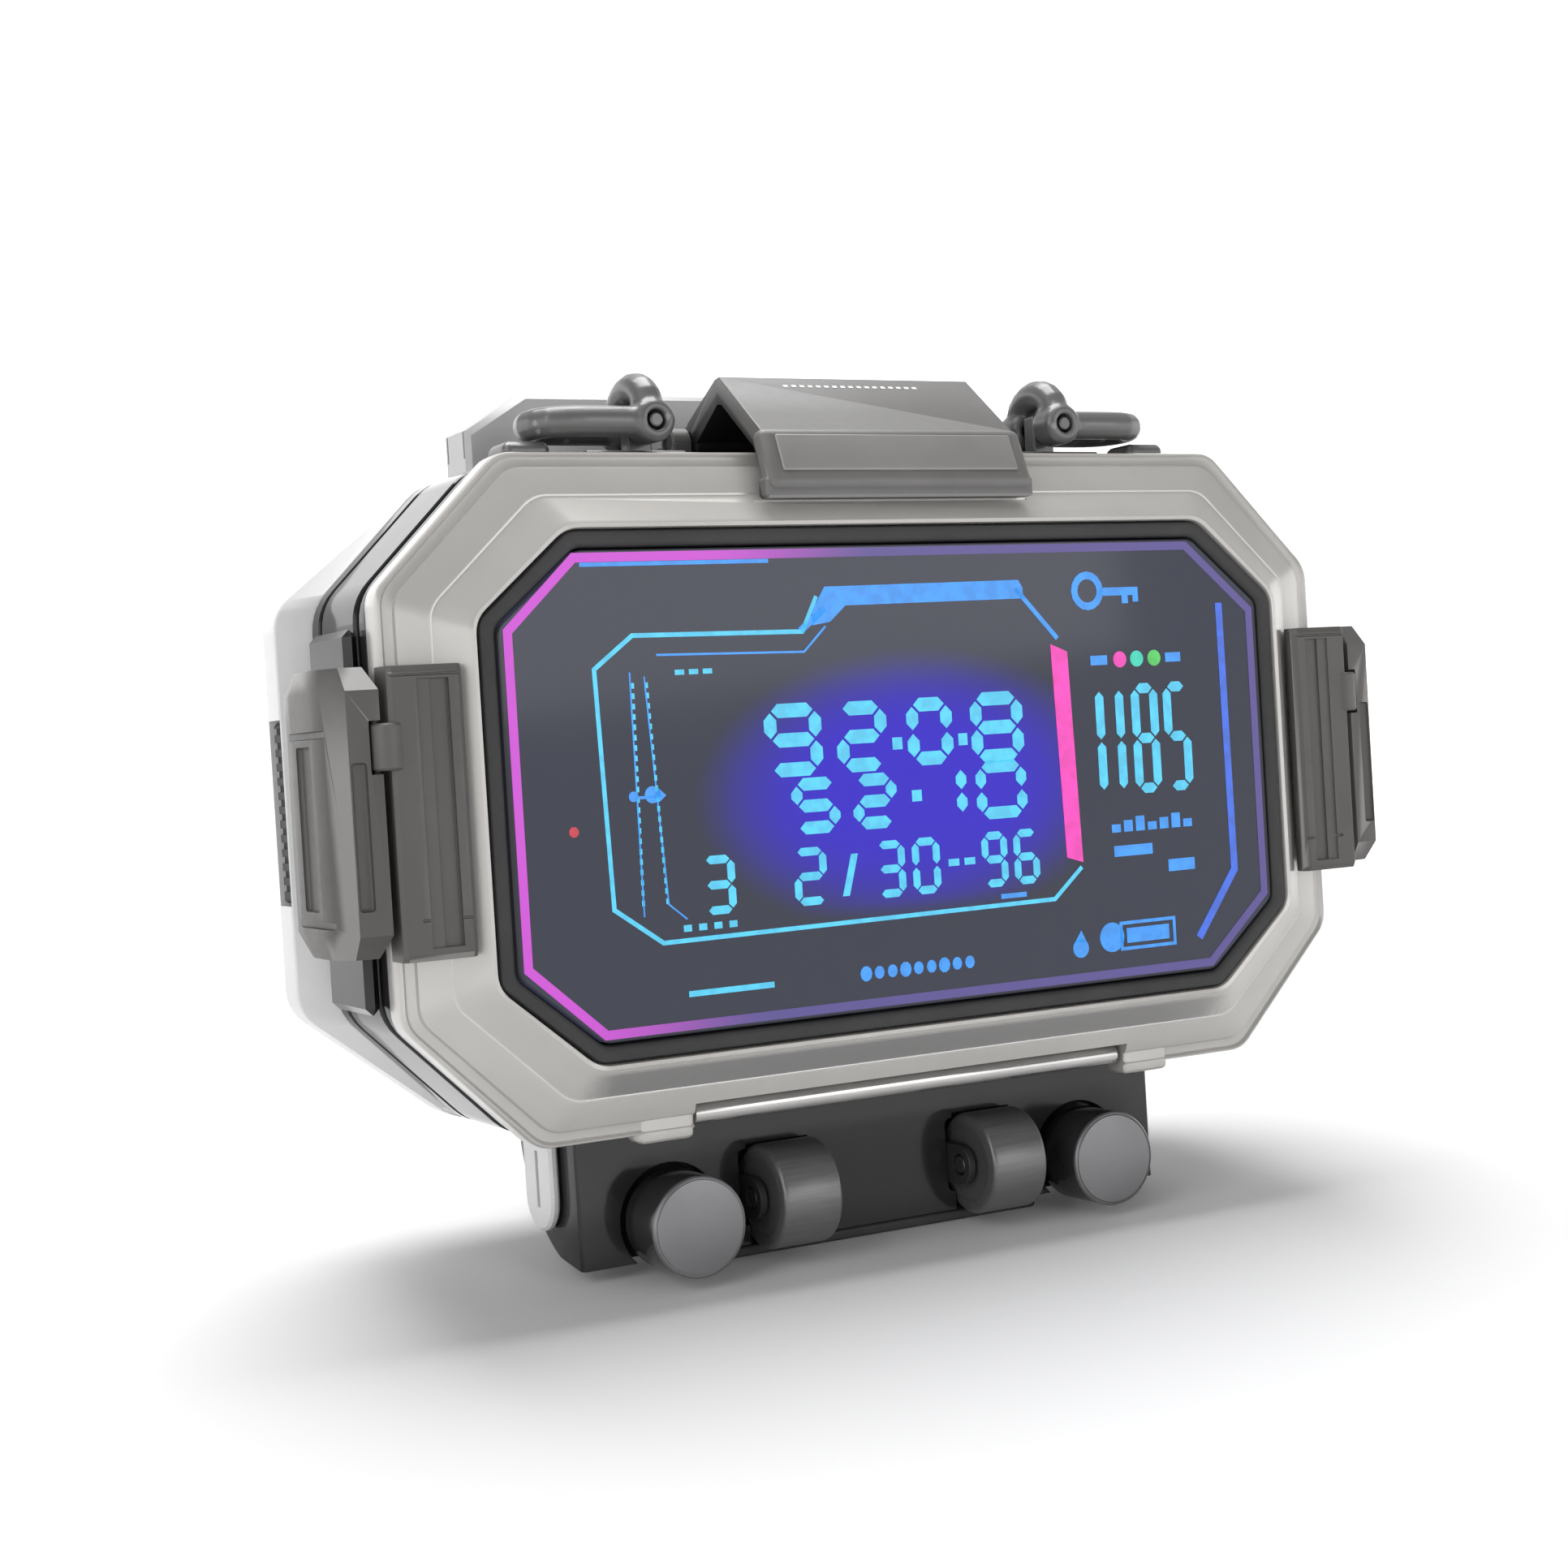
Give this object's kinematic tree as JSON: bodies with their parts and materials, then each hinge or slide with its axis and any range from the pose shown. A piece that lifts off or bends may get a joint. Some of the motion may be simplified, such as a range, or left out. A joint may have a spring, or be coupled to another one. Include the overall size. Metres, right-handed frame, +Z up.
{
  "type": "timegrapher",
  "caption": "Leaning octagonal watch-timing console with a lit display, bridge latch, lifting rings, side clasps and a control plinth with push knobs and thumbwheels.",
  "frame": {"origin": "middle of the front pad, on the surface the console stands on", "axes": "+X to the right as seen by the user, +Y to the back, +Z up"},
  "size_m": [0.172, 0.0621, 0.1255],
  "materials": {
    "silver_shell": "warm light grey satin lacquer with soft gloss",
    "pearl_shell": "near-white moulded plastic",
    "gloss_dark": "glossy dark grey moulding",
    "clasp_grey": "satin dark warm grey, paler worn edges",
    "latch_grey": "satin mid grey",
    "ring_grey": "smooth mid grey coating",
    "knob_metal": "turned grey metal, polished rim, satin face",
    "steel": "bright pins and screws",
    "black_rubber": "matt black elastomer",
    "screen_glass": "clear screen pane",
    "display": null,
    "board": "green circuit board",
    "battery": "wrapped cell pack"
  },
  "bodies": {
    "case": {"front_bezel": "silver_shell", "window_gasket": "black_rubber", "front_window": "screen_glass", "display_panel": "display", "main_board": "board", "body_gasket": "black_rubber", "mid_body": "gloss_dark", "rear_shell": "pearl_shell", "grip_left": "black_rubber", "grip_right": "black_rubber", "rear_panel": "pearl_shell", "battery_cover": "pearl_shell", "rear_screw_1": "steel", "rear_screw_2": "steel", "rear_screw_3": "steel", "rear_screw_4": "steel", "battery_pack": "battery", "rear_top_block": "pearl_shell", "top_saddle": "ring_grey", "acoustic_sensor": "steel", "latch_hinge_block": "latch_grey", "latch_pin": "steel", "lug_left": "ring_grey", "ring_pin_left": "steel", "ring_rest_left": "ring_grey", "lug_right": "ring_grey", "ring_pin_right": "steel", "ring_rest_right": "ring_grey", "clasp_base_left": "gloss_dark", "clasp_pin_left": "steel", "clasp_base_right": "gloss_dark", "clasp_pin_right": "steel", "hinge_rod": "silver_shell", "control_barrel": "gloss_dark", "drum_cap_left": "pearl_shell", "drum_cap_right": "pearl_shell", "knob_switch_left": "black_rubber", "knob_switch_right": "black_rubber", "wheel_axle_left": "steel", "wheel_axle_right": "steel", "wheel_yoke_left": "black_rubber", "wheel_yoke_right": "black_rubber", "control_board": "board", "front_pad": "black_rubber", "stand_bracket": "latch_grey", "stand_pin": "steel"},
    "latch": {"top_latch": "latch_grey"},
    "ring_left": {"ring_left": "ring_grey"},
    "lever_left": {"clasp_lever_left": "clasp_grey"},
    "hook_left": {"clasp_hook_left": "clasp_grey"},
    "knob_left": {"push_knob_left": "knob_metal"},
    "wheel_left": {"thumbwheel_left": "knob_metal"},
    "ring_right": {"ring_right": "ring_grey"},
    "lever_right": {"clasp_lever_right": "clasp_grey"},
    "hook_right": {"clasp_hook_right": "clasp_grey"},
    "knob_right": {"push_knob_right": "knob_metal"},
    "wheel_right": {"thumbwheel_right": "knob_metal"},
    "stand": {"rear_stand": "latch_grey"}
  },
  "joints": [
    {"name": "latch_open", "type": "hinge", "parent": "case", "child": "latch", "pos_m": [0, 0.01826, 0.11585], "axis": [-1, 0, 0], "range_deg": [0, 105]},
    {"name": "ring_left_swing", "type": "hinge", "parent": "case", "child": "ring_left", "pos_m": [-0.034, 0.00828, 0.11817], "axis": [0, 0.9914, -0.1305], "range_deg": [0, 95]},
    {"name": "clasp_left_open", "type": "hinge", "parent": "case", "child": "lever_left", "pos_m": [-0.0818, 0.00678, 0.06693], "axis": [0, -0.1305, -0.9914], "range_deg": [0, 95]},
    {"name": "hook_left_lift", "type": "hinge", "parent": "lever_left", "child": "hook_left", "pos_m": [-0.0782, -0.01295, 0.06953], "axis": [0, -0.1305, -0.9914], "range_deg": [0, 40]},
    {"name": "knob_left_push", "type": "slide", "parent": "case", "child": "knob_left", "axis": [0, 0.9914, -0.1305], "range_m": [0, 0.0022], "stiffness_N_per_m": 600, "springref_m": -0.0012},
    {"name": "wheel_left_spin", "type": "hinge", "parent": "case", "child": "wheel_left", "pos_m": [-0.0175, -0.00694, 0.00943], "axis": [1, 0, 0], "continuous": true},
    {"name": "ring_right_swing", "type": "hinge", "parent": "case", "child": "ring_right", "pos_m": [0.034, 0.00828, 0.11817], "axis": [0, -0.9914, 0.1305], "range_deg": [0, 95]},
    {"name": "clasp_right_open", "type": "hinge", "parent": "case", "child": "lever_right", "pos_m": [0.0818, 0.00678, 0.06693], "axis": [0, 0.1305, 0.9914], "range_deg": [0, 95]},
    {"name": "hook_right_lift", "type": "hinge", "parent": "lever_right", "child": "hook_right", "pos_m": [0.0782, -0.01295, 0.06953], "axis": [0, 0.1305, 0.9914], "range_deg": [0, 40]},
    {"name": "knob_right_push", "type": "slide", "parent": "case", "child": "knob_right", "axis": [0, 0.9914, -0.1305], "range_m": [0, 0.0022], "stiffness_N_per_m": 600, "springref_m": -0.0012},
    {"name": "wheel_right_spin", "type": "hinge", "parent": "case", "child": "wheel_right", "pos_m": [0.0175, -0.00694, 0.00943], "axis": [1, 0, 0], "continuous": true},
    {"name": "stand_fold", "type": "hinge", "parent": "case", "child": "stand", "pos_m": [0, 0.03649, 0.02217], "axis": [1, 0, 0], "range_deg": [0, 170]}
  ]
}
